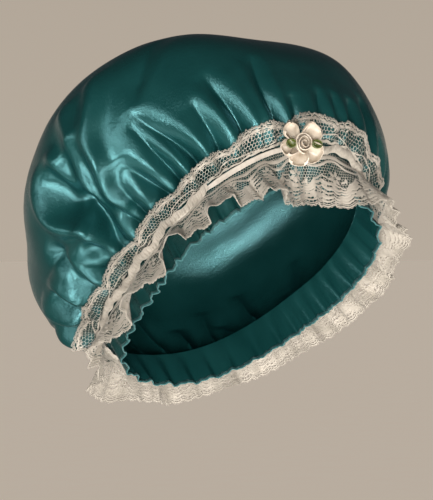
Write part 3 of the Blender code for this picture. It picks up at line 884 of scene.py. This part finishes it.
def makeLaceFoot(material):
    # the ruched foot of the lace, drawn up over the elastic
    angles = np.linspace(math.radians(elastic["bare"][1] - 2), math.radians(360 + elastic["bare"][0] + 2), 2600)
    corner, up, down, land = crook(angles)
    out, side = unit(up + down), unit(up - down)
    centre = corner + land / 2 * (up + down) + 1.5 * mm * out
    fade = np.sqrt(1 - bareElastic(angles))
    wander = 1.6 * mm * np.sin(angles * 13 + np.sin(angles * 5)) + 0.7 * mm * np.sin(angles * 47)
    many, finer = elastic["footPleats"]
    rows = []
    for v in np.linspace(-1, 1, 9):
        pleat = np.sin(angles * many + 1.6 * v + 1.5 * np.sin(angles * 17)) + 0.6 * np.sin(angles * finer + v)
        height = (0.4 + 0.8 * (1 - v**2)) * mm + 0.55 * mm * pleat * (1.2 - abs(v))
        beside = v * elastic["footWidth"] * fade + wander
        rows.append(centre + beside[:, None] * side + (height * fade - 0.6 * mm * v**2)[:, None] * out)
    return makePiece("laceFoot", np.array(rows), gridFaces(9, len(angles), False), material)


creamElastic = threadMaterial("creamElastic", (0.34, 0.30, 0.25), (0.46, 0.41, 0.35), 0.7, 1800.0, 0.1)
elasticBand = makeElastic(creamElastic)
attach(elasticBand, "root")
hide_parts("gathering_band")
laceFoot = makeLaceFoot(laceThread)
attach(laceFoot, "root")
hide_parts("lace_edging")
print("elastic made")

# the ribbon flower at the forehead
flower = {
    "centre": (-0.0120, -0.0970, 0.0725),
    "facing": (-0.34, -0.93, 0.08),
    # degrees round, length and width in mm; leaves: degrees, mm from the middle, mm up
    "petals": [(59, 18.6, 14.5), (143, 19.0, 13.0), (208, 17.6, 12.0), (263, 18.2, 13.4), (330, 18.4, 14.5)],
    "leaves": [(184, 8.6, 5.0), (354, 8.6, 5.3)],
    "petalTwist": 20,
    "wall": 0.35 * mm,
    "leafWall": 0.4 * mm,
    "budTurns": 2.75,
}


def flowerPlace(points):
    # points in the flower's own frame, whose third axis faces the viewer and whose second is up
    turn = np.array(Vector(flower["facing"]).to_track_quat("Z", "Y").to_matrix())
    return points @ turn.T + np.array(flower["centre"])


def spin(points, degrees):
    # turned about the flower's third axis
    a = math.radians(degrees)
    x, y, z = np.moveaxis(points, -1, 0)
    return np.stack([x * math.cos(a) - y * math.sin(a), x * math.sin(a) + y * math.cos(a), z], -1)


def thicken(made, thickness):
    wall = made.modifiers.new("ribbonWall", "SOLIDIFY")
    wall.thickness, wall.offset = thickness, 0
    return made


def makePetal(index, degrees, length, width, material):
    rows, columns = 26, 25
    u, v = np.meshgrid(np.linspace(0, 1, rows), np.linspace(-1, 1, columns), indexing="ij")
    swell = 0.26 + 0.74 * np.sin(math.pi * np.clip(u * 0.80 + 0.07, 0, 1)) ** 0.8
    half = width * mm / 2 * swell
    curl = 0.82 + 0.42 * u + 0.12 * math.sin(index * 2.1)  # how far the sides cup, in half turns
    bend = v * curl * math.pi / 2
    x = half * np.sin(bend) / np.sin(np.minimum(curl, 1.0) * math.pi / 2)
    z = half * 0.85 * (1 - np.cos(bend)) * (0.35 + 0.65 * np.sin(math.pi * np.clip(u, 0, 1) ** 0.8))
    tip = np.clip((u - 0.66) / 0.34, 0, 1)
    start = 2.4 * mm
    y = start + (length * mm - start) * (u - 0.16 * tip**2) - 2.6 * mm * v**2 * u
    crease = np.exp(-30 * (v - 0.12 * math.sin(index)) ** 2) * (1 - u) ** 0.5
    z += 4.2 * mm * (0.45 * u + 0.75 * tip**1.6) - 1.2 * mm * crease
    z += 0.25 * mm * np.sin(7 * v + 5 * u + index)
    twist = math.radians(flower["petalTwist"])
    local = np.stack([y, x * math.cos(twist) - z * math.sin(twist), x * math.sin(twist) + z * math.cos(twist)], -1)
    points = flowerPlace(spin(local, degrees))
    flat = np.stack([u * length * mm, v * width * mm / 2], -1)
    made = makePiece(f"ribbonPetal{index}", points, gridFaces(rows, columns, False), material, flat)
    return thicken(made, flower["wall"])


def makeBud(material):
    steps = 150
    turn = np.linspace(0, flower["budTurns"] * 2 * math.pi, steps)
    grow = 0.12 + 0.88 * (turn / turn[-1]) ** 0.85
    rows = []
    for height, spread in ((1.02, 0.97), (1.06, 1.04), (0.98, 1.08), (0.75, 1.07), (0.45, 1.0), (0.0, 0.80)):
        wobble = 1 + 0.05 * np.sin(turn * 2.6 + 0.5) * height
        x = 5.9 * mm * grow * spread * wobble * np.cos(turn)
        y = 6.9 * mm * grow * spread * wobble * np.sin(turn)
        rows.append(np.stack([x, y, 2.4 * mm + 6.6 * mm * height * (1.18 - 0.30 * grow)], -1))
    points = np.array(rows)
    flat = np.stack(np.broadcast_arrays(turn * 4 * mm, np.linspace(0, 7 * mm, 6)[:, None]), -1)
    made = makePiece("ribbonBud", flowerPlace(points), gridFaces(6, steps, False), material, flat)
    thicken(made, flower["wall"])
    smooth = made.modifiers.new("soft", "SUBSURF")
    smooth.levels = smooth.render_levels = 1
    return made


def makeLeafLoop(index, degrees, distance, foot, material):
    turn = np.linspace(0, 2 * math.pi, 44)
    rows = []
    for reach, rise in ((0.1, 0.6), (0.55, 0.5), (0.85, 1.2), (1.0, 2.2), (1.02, 3.0), (0.88, 3.5)):
        radius = 2.9 * mm * reach
        x = radius * 1.2 * np.cos(turn) + 0.15 * mm * rise
        y = radius * np.sin(turn)
        rows.append(np.stack([x, y, foot * mm + rise * mm + 0.3 * mm * np.cos(2 * turn) * reach], -1))
    local = np.array(rows)
    local[..., 0] += distance * mm
    points = flowerPlace(spin(local, degrees))
    flat = np.stack(np.broadcast_arrays(turn * 3 * mm, np.linspace(0, 3.4 * mm, 6)[:, None]), -1)
    made = makePiece(f"greenLoop{index}", points, gridFaces(6, 44, False), material, flat)
    return thicken(made, flower["leafWall"])


def ribbonMaterial(name, dark, light, roughness):
    made, tree, shader = startMaterial(name)
    place = addNode(tree, "ShaderNodeUVMap", uv_map="cloth").outputs["UV"]
    ribs = addNode(tree, "ShaderNodeMapping", {"Vector": place, "Scale": (900, 5200, 1)}).outputs["Vector"]
    threads = addNoise(tree, ribs, 1.0, 2.0)
    cloudColour(tree, shader, 160.0, 3.0, [(0.3, dark), (0.7, light)])
    tree.links.new(addBump(tree, threads, 0.25, 0.0002), shader.inputs["Normal"])
    unevenRoughness(tree, shader, threads, roughness - 0.05, roughness + 0.07)
    shader.inputs["Sheen Weight"].default_value = 0.2
    shader.inputs["Sheen Roughness"].default_value = 0.3
    shader.inputs["Anisotropic"].default_value = 0.3
    return made


creamRibbon = ribbonMaterial("creamRibbon", (0.40, 0.325, 0.24), (0.58, 0.51, 0.415), 0.28)
oliveRibbon = ribbonMaterial("oliveRibbon", (0.030, 0.045, 0.004), (0.085, 0.105, 0.014), 0.34)
for index, (degrees, length, width) in enumerate(flower["petals"], start=1):
    petal = makePetal(index, degrees, length, width, creamRibbon)
    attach(petal, "root")
    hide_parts(f"petal_{index}")
bud = makeBud(creamRibbon)
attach(bud, "root")
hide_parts("rosebud")
for index, (degrees, distance, foot) in enumerate(flower["leaves"], start=1):
    leaf = makeLeafLoop(index, degrees, distance, foot, oliveRibbon)
    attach(leaf, "root")
    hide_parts(("leaf_left", "leaf_right")[index - 1])
print("flower made")

# floor, light and camera
studio = {
    "floorDrop": 2.4,
    "floorSize": 400.0,
    "wall": (0.47, 0.405, 0.335),  # pale backdrop
    "floorGlow": {"From Min": 6.0, "From Max": 18.0, "To Min": 0.30, "To Max": 0.90},  # metres out, and how bright
    "cameraTurn": -38,
    "cameraDistance": 1.6,
    "frameHeight": 0.350,
    "aim": (-0.00525, 0.0021),
    "lights": [  # name, degrees round and up, metres away, metres across, watts
        ("keyLight", -44, -10, 1.9, 0.6, 34),
        ("highLight", -62, 8, 1.9, 0.6, 11),
        ("lowLight", -16, -38, 1.9, 0.7, 28),
        ("footLight", 22, -56, 1.9, 0.9, 13),
        ("underLight", -56, -70, 1.9, 0.7, 14),
        ("leftLight", -92, -2, 1.9, 0.7, 6),
        ("leftLowLight", -96, -48, 1.9, 0.6, 3),
        ("backLight", 122, -24, 2.2, 1.4, 12),
        ("rightLight", 10, -10, 1.9, 0.5, 12, (1.0, 0.97, 0.95)),
    ],
    "lightColour": (1.0, 0.98, 0.97),
    "sky": [(0.0, (0.47, 0.405, 0.335)), (0.19, (0.45, 0.388, 0.32)), (0.34, (0.085,) * 3), (1.0, (0.075,) * 3)],
}


def makeStage():
    made, tree, shader = startMaterial("paleFloor")
    spots = cloudColour(tree, shader, 3.0, 4.0, [(0.3, (0.60, 0.53, 0.46)), (0.7, (0.62, 0.55, 0.48))])
    shader.inputs["Roughness"].default_value = 0.9
    shader.inputs["Emission Color"].default_value = (*studio["wall"], 1)
    away = addNode(tree, "ShaderNodeVectorMath", {0: spots}, operation="LENGTH").outputs["Value"]
    glow = addNode(tree, "ShaderNodeMapRange", {"Value": away, **studio["floorGlow"]})
    tree.links.new(glow.outputs["Result"], shader.inputs["Emission Strength"])
    size, drop = studio["floorSize"], studio["floorDrop"]
    points = np.array([[-size, -size, -drop], [size, -size, -drop], [size, size, -drop], [-size, size, -drop]])
    floor = makePiece("floor", points, np.array([[0, 1, 2, 3]]), made)


def makeLight(name, azimuth, elevation, distance, size, power, colour=studio["lightColour"]):
    data = bpy.data.lights.new(name, "AREA")
    data.shape = "DISK"
    data.size, data.energy, data.color = size, power, colour
    light = bpy.data.objects.new(name, data)
    a, e = math.radians(azimuth), math.radians(elevation)
    spot = Vector((math.sin(a) * math.cos(e), -math.cos(a) * math.cos(e), math.sin(e))) * distance
    light.location = spot
    light.rotation_euler = (-spot).to_track_quat("-Z", "Y").to_euler()
    bpy.context.scene.collection.objects.link(light)


def makeWorld():
    world = bpy.data.worlds.new("softRoom")
    bpy.context.scene.world = world
    world.use_nodes = True
    tree = world.node_tree
    place = addNode(tree, "ShaderNodeTexCoord").outputs["Generated"]
    height = addNode(tree, "ShaderNodeSeparateXYZ", {"Vector": place}).outputs["Z"]
    rise = addNode(tree, "ShaderNodeMapRange", {"Value": height, "From Min": 0.0, "From Max": 0.6}).outputs["Result"]
    background = tree.nodes["Background"]
    tree.links.new(colourRamp(tree, rise, studio["sky"]), background.inputs["Color"])
    background.inputs["Strength"].default_value = 1.0


def makeCamera():
    turn = math.radians(studio["cameraTurn"])
    ahead = Vector((-math.sin(turn), math.cos(turn), 0))
    right = Vector((math.cos(turn), math.sin(turn), 0))
    data = bpy.data.cameras.new("camera")
    data.sensor_fit = "VERTICAL"
    data.sensor_height = 24
    data.lens = data.sensor_height * studio["cameraDistance"] / studio["frameHeight"]
    camera = bpy.data.objects.new("camera", data)
    camera.location = right * studio["aim"][0] + Vector((0, 0, studio["aim"][1])) - ahead * studio["cameraDistance"]
    camera.rotation_euler = ahead.to_track_quat("-Z", "Y").to_euler()
    bpy.context.scene.collection.objects.link(camera)
    bpy.context.scene.camera = camera


makeStage()
makeWorld()
for row in studio["lights"]:
    makeLight(*row)
bpy.context.scene.view_settings.view_transform = "Standard"
makeCamera()
print("stage made")
